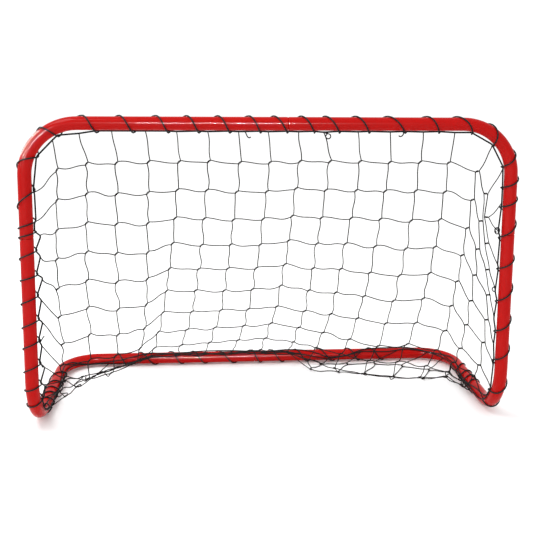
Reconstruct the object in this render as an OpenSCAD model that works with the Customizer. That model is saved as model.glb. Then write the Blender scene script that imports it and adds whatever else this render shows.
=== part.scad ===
// Knock-down practice goal: a frame of six bent tubes that plug together, hung with a knotted net
// that is laced to the frame with one turn of cord for each mesh. The mouth faces -Y, and the
// origin is on the floor under the middle of the goal.

/* [Frame] */
// Width across the outsides of the two posts
goal_w = 920; // [760:10:1200]
// Height from the floor to the top of the crossbar
goal_h = 600; // [480:10:800]
// Depth from the front of the posts to the back of the rear bar
goal_d = 380; // [330:10:520]
// Outer diameter of the tube
tube_d = 25; // [20:0.5:30]
// Wall of the tube
tube_wall = 1.2; // [1:0.1:2]
// Centreline radius of the top corners and the feet
bend_r = 95; // [70:5:110]
// Centreline radius of the rear corners
rear_bend_r = 75; // [60:5:90]

/* [Plug-in seams] */
// Depth that a swaged end slides in
spigot_l = 45; // [25:5:60]
// Length of the taper between the full tube and its swaged end
taper_l = 2; // [1:0.5:6]
// Clearance all round a swaged end inside the next tube
spigot_gap = 0.3; // [0.15:0.05:0.5]
// Gap between the taper and the mouth of the next tube
seam_gap = 0.5; // [0.2:0.1:1]
// Crossbar seam, to the right of the middle
top_seam_x = 25; // [-60:5:60]
// Post seams, below the top of the crossbar
post_seam_drop = 220; // [180:10:300]
// Side rail seams, behind the front of the posts
rail_seam_y = 210; // [180:5:220]
// Rear bar seam, to the right of the middle
rear_seam_x = -15; // [-60:5:60]

/* [Net] */
// Meshes across the back net
back_cols = 15; // [10:1:18]
// Meshes down the back net
back_rows = 10; // [7:1:11]
// Meshes from a post to the fold at the side
side_cols = 3; // [2:1:4]
// Thickness of the net twine
twine_d = 1.8; // [1.2:0.1:3]
// Thickness of the border cord along the edge of the net
border_d = 3.2; // [2:0.2:5]
// Length of the slack net on the floor at the left
slack_left_l = 230; // [120:10:280]
// Length of the slack net on the floor at the right
slack_right_l = 300; // [120:10:320]
// How far the slack net reaches in front of the rear bar
slack_reach = 145; // [80:5:160]
// Mesh of the slack net, bunched up
slack_mesh = 40; // [25:5:60]

/* [Lacing] */
// Thickness of the lacing cord
lacing_d = 2.8; // [2:0.2:4]
// Turns from the left foot to the join on the crossbar
left_turns = 19; // [10:1:24]
// Turns from there to the join at the right post's seam
top_turns = 13; // [8:1:24]
// Turns from there to the right foot
right_turns = 6; // [4:1:12]
// Turns round each side rail
rail_turns = 5; // [3:1:8]
// Turns round the rear bar
rear_turns = 12; // [8:1:20]
// Join of the left and top lacing, to the right of the crossbar's middle
lacing_join_x = -70; // [-150:10:50]
// How far the lacing follows the bend of the foot, in degrees
foot_wrap = 55; // [20:5:60]
// Turns in each knot that ties a lacing off
knot_turns = 3; // [2:1:4]
// Clearance between a cord and what it lies against
cord_gap = 0.3; // [0.2:0.05:0.5]

/* [Hidden] */
$fn = 64;

LEFT = -1;
RIGHT = 1;
tube_red = [0.83, 0.09, 0.09];
cord_black = [0.07, 0.07, 0.08];
twine_black = [0.12, 0.12, 0.13];
overrun = 1;                                   // bores run past the ends of their tubes

// Lacing section: six sides, twelve rings to a turn
rings = 12;
sides = 6;
border_sides = 8;
corner_step = 10;                              // degrees between rings of the lower border cord
ring_step = 360 / rings;
ring_fit = 1 / cos(ring_step / 2);             // keeps the straight stretches clear of the tube
flat_cut = lacing_d / 10;                      // the cord is pressed flat where the goal stands on it

// Frame centrelines
tube_r = tube_d / 2;
lacing_r = lacing_d / 2;
flat_r = lacing_r * cos(180 / sides);          // half the cord across two flat sides
wrap_r = tube_r + cord_gap + lacing_r;         // lacing's centre, from the tube's centre
border_off = tube_r + cord_gap + border_d / 2; // border cord's centre, from the tube's centre
bulge_r = border_off + border_d / 2 + cord_gap + lacing_r; // lacing's, where it passes the border
knot_r = 1.1 * lacing_d;
knot_step = 0.93 * lacing_d;                   // the turns of a knot bed into each other
knot_l = knot_step * (knot_turns - 1) + lacing_d;
post_x = goal_w / 2 - tube_r;
front_y = -goal_d / 2 + tube_r;
rear_y = goal_d / 2 - tube_r;
ground_z = round(100 * (wrap_r + flat_r - flat_cut)) / 100; // even, so that bends meet bars
top_z = goal_h - tube_r;
corner_x = post_x - bend_r;                    // centre of the top corners
corner_z = top_z - bend_r;
foot_y = front_y + bend_r;                     // centre of the feet's bends
foot_z = ground_z + bend_r;
rear_corner_x = post_x - rear_bend_r;
rear_corner_y = rear_y - rear_bend_r;

// Swaged ends
bore_d = tube_d - 2 * tube_wall;
spigot_d = bore_d - 2 * spigot_gap;
spigot_bore = spigot_d - 2 * tube_wall;
post_seam_z = goal_h - post_seam_drop;
rail_seam = front_y - tube_r + rail_seam_y;
shoulder = seam_gap + taper_l;                 // from a seam back to the full tube

// Net planes: clear of the lacing, inboard of the frame
net_off = bulge_r * ring_fit + lacing_r + cord_gap + twine_d / 2 * sqrt(2);
side_x = post_x - net_off;
back_half = side_x - twine_d - cord_gap;
back_top_z = top_z - net_off;
back_foot_z = ground_z + net_off;
back_l = norm([rear_y - front_y, back_top_z - back_foot_z]);
back_tilt = atan2(back_foot_z - back_top_z, rear_y - front_y);
top_round = back_half - corner_x;
foot_round = back_half - rear_corner_x;

// ---------------------------------------------------------------- tubes

module bar_x(x0, x1, y, z, d) {
    translate([min(x0, x1), y, z]) rotate([0, 90, 0]) cylinder(d = d, h = abs(x1 - x0));
}

module bar_y(y0, y1, x, z, d) {
    translate([x, min(y0, y1), z]) rotate([-90, 0, 0]) cylinder(d = d, h = abs(y1 - y0));
}

module bar_z(z0, z1, x, y, d) {
    translate([x, y, min(z0, z1)]) cylinder(d = d, h = abs(z1 - z0));
}

// A quarter bend from +X to +Y about the origin
module quarter(r, d) {
    rotate_extrude(angle = 90) translate([r, 0]) circle(d = d);
}

// The reduced end that slides into the next tube, along +Z from the end of the full tube
module swaged_end() {
    difference() {
        union() {
            cylinder(d1 = tube_d, d2 = spigot_d, h = taper_l);
            translate([0, 0, taper_l]) cylinder(d = spigot_d, h = seam_gap + spigot_l);
        }
        cylinder(d1 = bore_d, d2 = spigot_bore, h = taper_l);
        translate([0, 0, taper_l]) cylinder(d = spigot_bore, h = seam_gap + spigot_l + overrun);
    }
}

// Half of the crossbar, its corner and the top of its post
module upper_run(side, seam_x, d, over = 0) {
    bar_x(side * corner_x, seam_x - side * over, front_y, top_z, d);
    translate([side * corner_x, front_y, corner_z])
        mirror([side == LEFT ? 1 : 0, 0, 0]) rotate([90, 0, 0]) quarter(bend_r, d);
    bar_z(post_seam_z - over, corner_z, side * post_x, front_y, d);
}

module top_left_tube() color(tube_red) {
    difference() {
        upper_run(LEFT, top_seam_x, tube_d);
        upper_run(LEFT, top_seam_x, bore_d, overrun);
    }
}

module top_right_tube() color(tube_red) {
    difference() {
        upper_run(RIGHT, top_seam_x + shoulder, tube_d);
        upper_run(RIGHT, top_seam_x + shoulder, bore_d, overrun);
    }
    translate([top_seam_x + shoulder, front_y, top_z]) rotate([0, -90, 0]) swaged_end();
}

// Lower post, foot and the front of the side rail
module leg_run(side, d, over = 0) {
    bar_z(foot_z, post_seam_z - shoulder + over, side * post_x, front_y, d);
    translate([side * post_x, foot_y, foot_z])
        rotate([0, 90, 0]) rotate([0, 0, -90]) quarter(bend_r, d);
    bar_y(foot_y, rail_seam + over, side * post_x, ground_z, d);
}

module leg_tube(side) color(tube_red) {
    difference() {
        leg_run(side, tube_d);
        leg_run(side, bore_d, overrun);
    }
    translate([side * post_x, front_y, post_seam_z - shoulder]) swaged_end();
}

// Back of the side rail, rear corner and half of the rear bar
module rear_run(side, seam_x, d, over = 0) {
    bar_y(rail_seam + shoulder - over, rear_corner_y, side * post_x, ground_z, d);
    translate([side * rear_corner_x, rear_corner_y, ground_z])
        mirror([side == LEFT ? 1 : 0, 0, 0]) quarter(rear_bend_r, d);
    bar_x(side * rear_corner_x, seam_x - side * over, rear_y, ground_z, d);
}

module rail_spigot(side) {
    translate([side * post_x, rail_seam + shoulder, ground_z]) rotate([90, 0, 0]) swaged_end();
}

module rear_left_tube() color(tube_red) {
    difference() {
        rear_run(LEFT, rear_seam_x, tube_d);
        rear_run(LEFT, rear_seam_x, bore_d, overrun);
    }
    rail_spigot(LEFT);
}

module rear_right_tube() color(tube_red) {
    difference() {
        rear_run(RIGHT, rear_seam_x + shoulder, tube_d);
        rear_run(RIGHT, rear_seam_x + shoulder, bore_d, overrun);
    }
    rail_spigot(RIGHT);
    translate([rear_seam_x + shoulder, rear_y, ground_z]) rotate([0, -90, 0]) swaged_end();
}

// ---------------------------------------------------------------- lacing

// Lengths along the frame from the middle of the crossbar: corner, post, foot and side rail
bend_l = bend_r * PI / 2;
corner_end = corner_x + bend_l;
foot_start = corner_end + corner_z - foot_z;
foot_end = foot_start + bend_l;
rail_end = foot_end + rear_corner_y - foot_y;

// A place on the frame: its centre, the direction of the net, and a second direction across the tube
function along_mouth(s) =
    let (side = sign(s), l = abs(s), a = 90 * (l - corner_x) / bend_l,
         b = 90 * (l - foot_start) / bend_l)
    l <= corner_x ? [[s, front_y, top_z], [0, 0, -1], [0, -1, 0]] :
    l <= corner_end ?
        [[side * (corner_x + bend_r * sin(a)), front_y, corner_z + bend_r * cos(a)],
         [-side * sin(a), 0, -cos(a)], [0, -1, 0]] :
    l <= foot_start ?
        [[side * post_x, front_y, corner_z - (l - corner_end)], [-side, 0, 0], [0, -1, 0]] :
    l <= foot_end ?
        [[side * post_x, foot_y - bend_r * cos(b), foot_z - bend_r * sin(b)],
         [-side, 0, 0], [0, -cos(b), -sin(b)]] :
        [[side * post_x, foot_y + l - foot_end, ground_z], [-side, 0, 0], [0, 0, -1]];
function along_rear(s) = [[s, rear_y, ground_z], [0, 0, 1], [0, -1, 0]];
function place(route, s) = route == "rear" ? along_rear(s) : along_mouth(s);

// Direction out of the tube at an angle from the net's direction
function outward(at, a) = cos(a) * at[1] + sin(a) * at[2];
// The cord runs round the tube, and out round the border cord where it faces the net
function cord_r(a) = (cos(a) > cos(ring_step) ? bulge_r : wrap_r) * ring_fit;
function cord_angle(k, way) = way * (ring_step / 2 - ring_step * k);
function cord_centre(route, from, pitch, k, way) =
    let (at = place(route, from + pitch * k / rings), a = cord_angle(k, way))
    at[0] + cord_r(a) * outward(at, a);
function unit(v) = v / norm(v);

// Centres of one winding: a straight end, its turns, and a straight end
function winding(route, from, to, turns, way) =
    let (pitch = (to - from) / turns, last = turns * rings,
         c = [for (k = [0 : last]) cord_centre(route, from, pitch, k, way)])
    concat([c[0] - lacing_d * unit(c[1] - c[0])], c,
           [c[last] + lacing_d * unit(c[last] - c[last - 1])]);
function winding_out(route, from, to, turns, way) =
    let (pitch = (to - from) / turns, last = turns * rings)
    [for (k = [-1 : last + 1])
        let (j = max(0, min(last, k)))
        outward(place(route, from + pitch * j / rings), cord_angle(j, way))];

// Least distance between surfaces of turns, over centres at least half a turn apart
function least_gap(c) =
    min([for (i = [0 : len(c) - 1 - rings / 2]) for (j = [i + rings / 2 : len(c) - 1])
        norm(c[i] - c[j])]) - lacing_d;

function ring(c, out, t, r, sides) =
    let (u = unit(out - (out * t) * t), w = cross(t, u))
    [for (j = [0 : sides - 1])
        let (a = (j + 0.5) * 360 / sides, p = c + r * (cos(a) * u + sin(a) * w))
        [p.x, p.y, max(p.z, 0)]];

// One tube along centres, with a flat side facing outwards
module cord(c, out, r, sides) {
    n = len(c);
    points = [for (i = [0 : n - 1])
        let (t = unit(c[min(i + 1, n - 1)] - c[max(i - 1, 0)])) each ring(c[i], out[i], t, r, sides)];
    start = [for (j = [1 : sides - 2]) [0, j, j + 1]];
    end = [for (j = [1 : sides - 2]) let (e = (n - 1) * sides) [e, e + j + 1, e + j]];
    walls = [for (i = [0 : n - 2]) for (j = [0 : sides - 1])
        let (a = i * sides + j, b = i * sides + (j + 1) % sides, c = b + sides, d = a + sides)
        each [[a, d, c], [a, c, b]]];
    polyhedron(points = points, faces = concat(start, walls, end));
}

module lacing(name, route, from, to, turns, way = 1) color(cord_black) {
    c = winding(route, from, to, turns, way);
    echo(str(name, " lacing: least gap to itself ", least_gap(c), " mm"));
    cord(c, winding_out(route, from, to, turns, way), lacing_r, sides);
}

// Room for a knot between two windings, or past the end of one
knot_room = knot_l + 2 * (lacing_d + cord_gap);
join_left = lacing_join_x;
join_right = corner_end + corner_z - post_seam_z;
wrap_end = foot_start + bend_l * foot_wrap / 90;
// The first turn of a rail touches the floor where the bend of the foot ends
first_touch = 0.25 + 0.5 / rings;
rail_to = rail_end - knot_room;
rail_pitch = (rail_to - foot_end) / (rail_turns - first_touch);
rail_from = foot_end - first_touch * rail_pitch;
rear_to = rear_corner_x - knot_room;

module left_lacing()
    lacing("left", "mouth", -wrap_end, join_left - knot_room / 2, left_turns);
module top_lacing()
    lacing("top", "mouth", join_left + knot_room / 2, join_right - knot_room / 2, top_turns);
module right_lacing()
    lacing("right", "mouth", join_right + knot_room / 2, wrap_end, right_turns);
module rail_lacing(side)
    mirror([side == LEFT ? 1 : 0, 0, 0])
        lacing(side == LEFT ? "left rail" : "right rail", "mouth", rail_from, rail_to, rail_turns, -1);
module rear_lacing() lacing("rear", "rear", -rear_to, rear_to, rear_turns);

// A knot lies in the valley between the tube and the border cord, on one side of the cord
module knot(route, s, side) {
    at = place(route, s);
    to_tube = tube_r + cord_gap + knot_r;
    to_border = border_d / 2 + cord_gap + knot_r;
    inward = (pow(to_tube, 2) - pow(to_border, 2) + pow(border_off, 2)) / (2 * border_off);
    across = side * sqrt(pow(to_tube, 2) - pow(inward, 2));
    c = at[0] + inward * at[1] + across * at[2];
    t = cross(at[1], at[2]);
    multmatrix([[at[1].x, at[2].x, t.x, c.x], [at[1].y, at[2].y, t.y, c.y],
                [at[1].z, at[2].z, t.z, c.z], [0, 0, 0, 1]])
        rotate_extrude() {
            turn_r = knot_r - lacing_r;
            half = knot_step * (knot_turns - 1) / 2;
            translate([0, -half]) square([turn_r, 2 * half]);
            for (i = [0 : knot_turns - 1])
                translate([turn_r, i * knot_step - half]) circle(d = lacing_d);
        }
}

module lacing_knots() color(cord_black) {
    knot("mouth", join_left, 1);
    knot("mouth", join_right, 1);
    for (side = [LEFT, RIGHT]) {
        knot("mouth", side * foot_end, -1);
        knot("mouth", side * (rail_end - knot_room / 2), -1);
        knot("rear", side * (rear_corner_x - knot_room / 2), 1);
    }
}

// ---------------------------------------------------------------- border cords

// Along the front edge of the net: up from the feet, over the crossbar and down again
module mouth_border_cord() color(cord_black) {
    bar_x(-corner_x, corner_x, front_y, top_z - border_off, border_d);
    for (side = [LEFT, RIGHT]) {
        x = side * (post_x - border_off);
        translate([side * corner_x, front_y, corner_z])
            mirror([side == LEFT ? 1 : 0, 0, 0]) rotate([90, 0, 0])
                quarter(bend_r - border_off, border_d);
        bar_z(foot_z, corner_z, x, front_y, border_d);
        translate([x, foot_y, foot_z])
            rotate([0, 90, 0]) rotate([0, 0, -90]) quarter(bend_r, border_d);
    }
}

// Direction of the lower border cord from the tube: inwards along a rail, turning up round the corner
function ground_cord_out(side, a) = [-side * cos(a) * cos(a), -sin(a) * cos(a), sin(a)];
function ground_cord_at(side, a) =
    [side * (rear_corner_x + rear_bend_r * cos(a)), rear_corner_y + rear_bend_r * sin(a), ground_z]
    + border_off * ground_cord_out(side, a);
function rail_cord_start(side) = [side * (post_x - border_off), foot_y + cord_gap, ground_z];

// Along the lower edge of the net: beside the rails and on top of the rear bar
module ground_border_cord() color(cord_black) {
    corner = [for (a = [0 : corner_step : 90]) a];
    back = [for (a = [90 : -corner_step : 0]) a];
    c = concat([rail_cord_start(LEFT)], [for (a = corner) ground_cord_at(LEFT, a)],
               [for (a = back) ground_cord_at(RIGHT, a)], [rail_cord_start(RIGHT)]);
    out = concat([ground_cord_out(LEFT, 0)], [for (a = corner) ground_cord_out(LEFT, a)],
                 [for (a = back) ground_cord_out(RIGHT, a)], [ground_cord_out(RIGHT, 0)]);
    cord(c, out, border_d / 2, border_sides);
}

// ---------------------------------------------------------------- nets

// A strand between two places in the plane of a net
module strand(p, q) {
    translate(p) rotate(atan2(q.y - p.y, q.x - p.x))
        translate([0, -twine_d / 2]) square([norm(q - p), twine_d]);
}

// An outline moved out by a distance, or in by a negative one; its points run anticlockwise
function grown(outline, d) =
    let (n = len(outline))
    [for (i = [0 : n - 1])
        let (p = outline[i], u = unit(p - outline[(i + n - 1) % n]),
             v = unit(outline[(i + 1) % n] - p), across = [u.y + v.y, -u.x - v.x])
        p + d * across / (1 + u * v)];

// A net's outline with its edge strand, and its other strands inside it
module net_within(outline) {
    difference() {
        polygon(grown(outline, twine_d / 2));
        polygon(grown(outline, -twine_d / 2));
    }
    intersection() {
        polygon(outline);
        children();
    }
}

// A quarter round for an outline, anticlockwise about its centre
function rounded(centre, r, from) =
    [for (a = [from : 10 : from + 90]) centre + r * [cos(a), sin(a)]];

// Back net: across the goal in x, down the slope in y
back_outline = concat(
    rounded([-corner_x, top_round], top_round, 180),
    rounded([corner_x, top_round], top_round, 270),
    rounded([rear_corner_x, back_l - foot_round], foot_round, 0),
    rounded([-rear_corner_x, back_l - foot_round], foot_round, 90));

module back_net() color(twine_black) {
    col_w = 2 * back_half / back_cols;
    row_h = back_l / back_rows;
    translate([0, front_y, back_top_z]) rotate([back_tilt, 0, 0])
        linear_extrude(height = twine_d, center = true) net_within(back_outline) {
            for (i = [1 : back_cols - 1])
                strand([i * col_w - back_half, 0], [i * col_w - back_half, back_l]);
            for (j = [1 : back_rows - 1])
                strand([-back_half, j * row_h], [back_half, j * row_h]);
        }
}

// Side net, in y and z: it follows the post, the foot and the rail, and folds into the back net
slope = (rear_y - front_y) / (back_top_z - back_foot_z);
side_top_z = back_top_z + top_round * sin(back_tilt);
side_foot_z = back_foot_z - foot_round * sin(back_tilt);
side_rear_y = rear_corner_y + rear_bend_r / 5;
function fold_y(z) = front_y + (back_top_z - z) * slope;

side_outline = concat(
    rounded([foot_y, foot_z], bend_r, 180),
    [[side_rear_y, ground_z], [fold_y(side_foot_z), side_foot_z],
     [fold_y(side_top_z), side_top_z], [front_y, side_top_z]]);

module side_net(side) color(twine_black) {
    row_h = (back_top_z - back_foot_z) / back_rows;
    translate([side * side_x - twine_d / 2, 0, 0]) rotate([90, 0, 90])
        linear_extrude(height = twine_d) net_within(side_outline) {
            for (j = [1 : back_rows - 1])
                let (z = back_top_z - j * row_h) strand([front_y, z], [fold_y(z), z]);
            for (i = [1 : side_cols - 1])
                let (f = i / side_cols)
                strand([front_y + f * (fold_y(side_top_z) - front_y), side_top_z],
                       [front_y + f * (side_rear_y - front_y), ground_z]);
        }
}

// Slack net on the floor: u runs from the side net along the rear bar, v towards the mouth
slack_clear = wrap_r * ring_fit + lacing_r + cord_gap;
slack_y = rear_y - sqrt(pow(slack_clear, 2) - pow(ground_z - twine_d, 2)) - twine_d / 2;
slack_x = side_x - twine_d;
slack_shape = [[0, 0], [1, 0], [0.78, 0.3], [0.5, 0.82], [0.22, 1], [0, 0.7]];

module slack_net(side, l) color(twine_black) {
    reach = l + slack_reach;
    translate([side * slack_x, slack_y, 0]) mirror([0, 1, 0]) mirror([side == RIGHT ? 1 : 0, 0, 0])
        linear_extrude(height = twine_d)
            net_within([for (p = slack_shape) [p.x * l, p.y * slack_reach]])
                for (d = [slack_mesh : slack_mesh : reach]) {
                    strand([d, 0], [d - reach, reach]);
                    strand([d - slack_reach, 0], [d - slack_reach + reach, reach]);
                }
}

top_left_tube();
top_right_tube();
leg_tube(LEFT);  // left_leg_tube
leg_tube(RIGHT);  // right_leg_tube
rear_left_tube();
rear_right_tube();
left_lacing();
top_lacing();
right_lacing();
rail_lacing(LEFT);  // left_rail_lacing
rail_lacing(RIGHT);  // right_rail_lacing
rear_lacing();
mouth_border_cord();
ground_border_cord();
back_net();
side_net(LEFT);  // left_side_net
side_net(RIGHT);  // right_side_net
slack_net(LEFT, slack_left_l);  // left_slack_net
slack_net(RIGHT, slack_right_l);  // right_slack_net
lacing_knots();
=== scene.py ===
"""Dresses a small practice goal: paint on its tubes, spiral lacing, border cords and a knotted net.

The goal's frame is packed elsewhere and loaded here. Lengths are in metres. Distances along the
frame are measured from the middle of the crossbar, to the right above zero and to the left below.
"""

import math

import bpy
import numpy as np
from mathutils import Matrix, Vector


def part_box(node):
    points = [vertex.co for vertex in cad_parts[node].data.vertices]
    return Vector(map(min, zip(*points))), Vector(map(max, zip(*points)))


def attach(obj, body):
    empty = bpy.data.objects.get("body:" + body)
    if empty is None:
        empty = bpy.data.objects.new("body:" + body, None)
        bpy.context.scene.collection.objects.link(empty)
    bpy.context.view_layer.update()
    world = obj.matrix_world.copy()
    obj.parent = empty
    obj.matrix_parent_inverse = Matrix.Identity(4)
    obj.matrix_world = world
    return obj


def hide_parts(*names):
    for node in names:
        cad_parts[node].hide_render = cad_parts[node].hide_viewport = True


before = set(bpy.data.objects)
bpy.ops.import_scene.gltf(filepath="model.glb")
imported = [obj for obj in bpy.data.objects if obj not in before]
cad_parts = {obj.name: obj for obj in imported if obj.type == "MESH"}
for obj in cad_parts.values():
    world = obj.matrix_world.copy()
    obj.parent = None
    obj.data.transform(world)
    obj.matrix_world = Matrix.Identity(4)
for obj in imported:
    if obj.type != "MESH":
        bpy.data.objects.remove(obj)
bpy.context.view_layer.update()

bl_info = {
    "name": "Laced Practice Goal",
    "version": (1, 0, 0),
    "blender": (4, 5, 0),
    "location": "3D View > Sidebar > Goal",
    "description": "Paints a small goal's tubes and laces a knotted net to them",
    "category": "Add Mesh",
}

MM = 0.001
BODY = "root"

# ---------------------------------------------------------------- the frame's own sizes

LEG_LOW, LEG_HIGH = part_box("right_leg_tube")
TOP_LOW, TOP_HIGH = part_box("top_right_tube")
REAR_LOW, REAR_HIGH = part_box("rear_right_tube")
TUBE_R = (LEG_HIGH.x - LEG_LOW.x) / 2
POST_X = (LEG_HIGH.x + LEG_LOW.x) / 2
FRONT_Y = (TOP_HIGH.y + TOP_LOW.y) / 2
TOP_Z = TOP_HIGH.z - TUBE_R
REAR_Y = REAR_HIGH.y - TUBE_R
GROUND_Z = REAR_LOW.z + TUBE_R
# Radii of the bends, to the middle of the tube
CORNER_R = 95 * MM
REAR_CORNER_R = 75 * MM

# ---------------------------------------------------------------- the lacing, as it is wound

# Turns of the mouth lacing, from the left foot over the crossbar to the right foot: where each
# leaves the outside of the tube, and how far along it meets the net
MOUTH_TURNS = (
    (-940, 10), (-905, 10), (-870, 15), (-825, 15), (-785, 15), (-740, 15), (-695, 10),
    (-655, 15), (-615, 10), (-598, 12), (-560, 30), (-485, 25), (-415, 20), (-342, 22),
    (-277, 22), (-212, 20), (-157, 20), (-101, 20), (-45, 20), (0, 24), (50, 24), (94, 26),
    (150, 25), (210, 32), (284, 22), (340, 32), (402, 26), (462, 20), (506, 19), (544, 18),
    (590, 30), (658, 23), (714, 31), (777, 28), (836, 27), (908, 26), (969, 17))
# Where one lacing cord ends and the next goes on
LEFT_JOIN = -70 * MM
RIGHT_JOIN = 620 * MM
# Where the mouth border ends and the lower border begins, in the bends of the feet
MOUTH_END = 965 * MM
# Turns on each side rail, from the crossbar's middle, and gaps on the rear bar from its left end
LEFT_RAIL_TURNS = (1042, 1066, 1100, 1120, 1160, 1212)
RIGHT_RAIL_TURNS = (1072, 1098, 1122, 1150, 1200)
RAIL_RUN = 12 * MM
REAR_START = -330 * MM
REAR_GAPS = (55, 70, 50, 60, 75, 45, 60, 55, 70, 50, 65)
# How high the lower border cord lies on the rear bar, in degrees above its front, from its middle
REAR_LIFT = ((-450, 8), (-400, -28), (-320, -35), (-290, -10), (-250, 48), (-180, 62), (-90, 50),
             (-20, 66), (60, 58), (120, 10), (155, -25), (200, 5), (240, 45), (300, 38),
             (345, 62), (400, 30), (450, 8))
# Clearance of the lacing and the mouth border from the tube
CORD_GAP = 0.2 * MM
# Clearance of the lower border from the tube, and of a turn that rides over a border
BORDER_GAP = 0.3 * MM
# The way round the tube is shared between a hook at its outside and an even slant
HOOK, SLANT = 0.7, 0.3
# A turn rides highest this far past the inner side, in half turns, and over this many degrees
RIDE_PLACE, RIDE_SPREAD = 0.06, 20
# The mouth border lies inside the tube, and a little behind it
BORDER_INWARD, BORDER_BEHIND = 0.97, 0.24
# The lower cords are thinner. The net's edge cord sways beside the border, in degrees round the
# tube, and once over this length
GROUND_CORD_SHARE = 0.75
EDGE_CORD_LIFT, EDGE_CORD_SWAY = 26, 22
EDGE_CORD_WAVE = 31 * MM
TAIL_THICKNESS = 2.2 * MM
CORD_SIDES, TWINE_SIDES = 8, 6
POINTS_PER_TURN = 32
# Length of one twist or braid of each cord
LACING_PITCH, BORDER_PITCH, TWINE_PITCH = 6 * MM, 7 * MM, 3 * MM
# How high the middle of each cord stays above the floor that presses it flat, in thicknesses
LACING_REST, BORDER_REST, TWINE_REST = 0.2, 0.4, 0.6

# ---------------------------------------------------------------- the net, as it is tied

COLUMNS = 17
ROWS = 12
NET_SEED = 3
# Where the net folds from its sides to its back, its middle, and the row where its slack begins
LEFT_FOLD, RIGHT_FOLD, MIDDLE_COLUMN = 2, 15, 9
SLACK_ROW = 9.2
# Ties under the crossbar, from its middle, and how far each pulls the border off the tube
TOP_TIES = ((-410, 3), (-350, 5), (-292, 0), (-232, 0), (-176, 1), (-120, 1), (-64, 1), (-10, 1),
            (46, 1), (92, 2), (156, 1), (216, 1), (278, 1), (338, 2), (430, 1), (488, 0), (556, 0))
# Ties down the left side, which hang just below a turn of the lacing, and down the right side
LEFT_TIES = ((532, 2), (586, 3), (612, 11), (650, 9), (690, 12), (732, 8), (774, 9), (820, 6),
             (862, 10), (898, 9), (930, 4), (985, 0))
RIGHT_TIES = ((610, 4), (676, 2), (728, 4), (782, 4), (834, 2), (878, 1), (930, 0), (985, 0),
              (1015, 0), (1075, 0), (1130, 0), (1180, 0))
# Ties along the rear bar and the backs of the rails, from the rear bar's middle
BOTTOM_TIES = (-620, -540, -350, -262, -250, -198, -136, -77, 8, 95, 165, 238, 325, 400, 450,
               500, 560)
# How far the slack of each column is drawn forward from the rear bar's middle line, and the share
# of that in each of the three rows that lie on the floor
SLACK = (165, 140, 110, 45, 25, 22, 22, 22, 22, 30, 55, 85, 60, 120, 125, 50, 180)
SLACK_SHARES = ((0.7,), (1.0,), (0.6,))
SLACK_ROWS = slice(ROWS - 2, ROWS + 1)
# Rows of bars where the back changes to its low mesh, and where the net nears the floor
LOW_ROW, FLOOR_ROW = 6, 9
# Columns over which the bars of the left, of the right and of the right near the floor change
# into those of the back, and the column, counted from 0, where those of the right begin
LEFT_FADE, RIGHT_FADE, RIGHT_FLOOR_FADE = 4, 5, 2
RIGHT_START = 9
# Bars are longer by this much: low at the right, and near the floor at the left and the right
RIGHT_LOW_MORE, LEFT_FLOOR_MORE, RIGHT_FLOOR_MORE = 4 * MM, 14 * MM, 8 * MM
# The last column of the right panel is shorter by this much
PANEL_LESS = 4 * MM
# Rows gathered along the rear bar, and the least share of its length that a bar keeps
GATHERED_ROWS = ((10, 0.35), (11, 0.25), (12, 0.25))
# The gathered stretch: its middle column, its half width and the columns that it fades over
GATHER_MIDDLE, GATHER_HALF, GATHER_FADE = 6.5, 1.8, 2.5
# Columns at the right corner whose lowest bars are let out or taken in, and by what share
CORNER_COLUMNS = ((14, 1.13), (15, 0.85), (16, 0.51), (17, 0.31))
CORNER_LEVEL = 1.2
# Level bars outside the back: first and last column, length at the top, and gain to the ground
SIDE_LEVELS = ((0, 1, 70, -14), (1, 3, 54, 4), (3, 5, 54, 24), (COLUMNS - 2, COLUMNS, 45, 4),
               (COLUMNS, COLUMNS + 1, 48, 0))
# Bars differ by this share from each other, as hand-tied ones do
UNEVEN = 0.03
# A knot's coil: its turns, its height as a share of the knot, and its thickness in twines
KNOT_TURNS, KNOT_HEIGHT, KNOT_THICKNESS = 2.25, 0.7, 1.05
# Where the twine enters a knot, as a share of its length from its middle
KNOT_HALF = 0.42


def length(name, description, default, least, most):
    """A length that a user can change, given in millimetres."""
    return bpy.props.FloatProperty(
        name=name, description=description, unit="LENGTH", default=default * MM,
        min=least * MM, max=most * MM)


def mesh_bar(name, description, default):
    """The length of one side of a mesh."""
    return length(name, description, default, 20, 120)


def colour(name, description, default):
    """A colour that a user can change."""
    return bpy.props.FloatVectorProperty(
        name=name, description=description, subtype="COLOR", size=3, min=0, max=1,
        default=default)


class GoalTubes(bpy.types.PropertyGroup):
    """The painted steel tubes"""
    paint: colour("Paint", "Colour of the gloss paint", (0.40, 0.003, 0.002))
    gloss: bpy.props.FloatProperty(
        name="Roughness", description="Roughness of the paint, lower is glossier", min=0.02,
        max=1, default=0.2, subtype="FACTOR")


class GoalCords(bpy.types.PropertyGroup):
    """The lacing and border cords"""
    lacing: length("Lacing", "Diameter of the lacing cord", 2.7, 1, 6)
    border: length("Border", "Diameter of the border cord", 3.2, 1, 8)
    black: colour("Cord", "Colour of the cords", (0.006, 0.006, 0.007))


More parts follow.
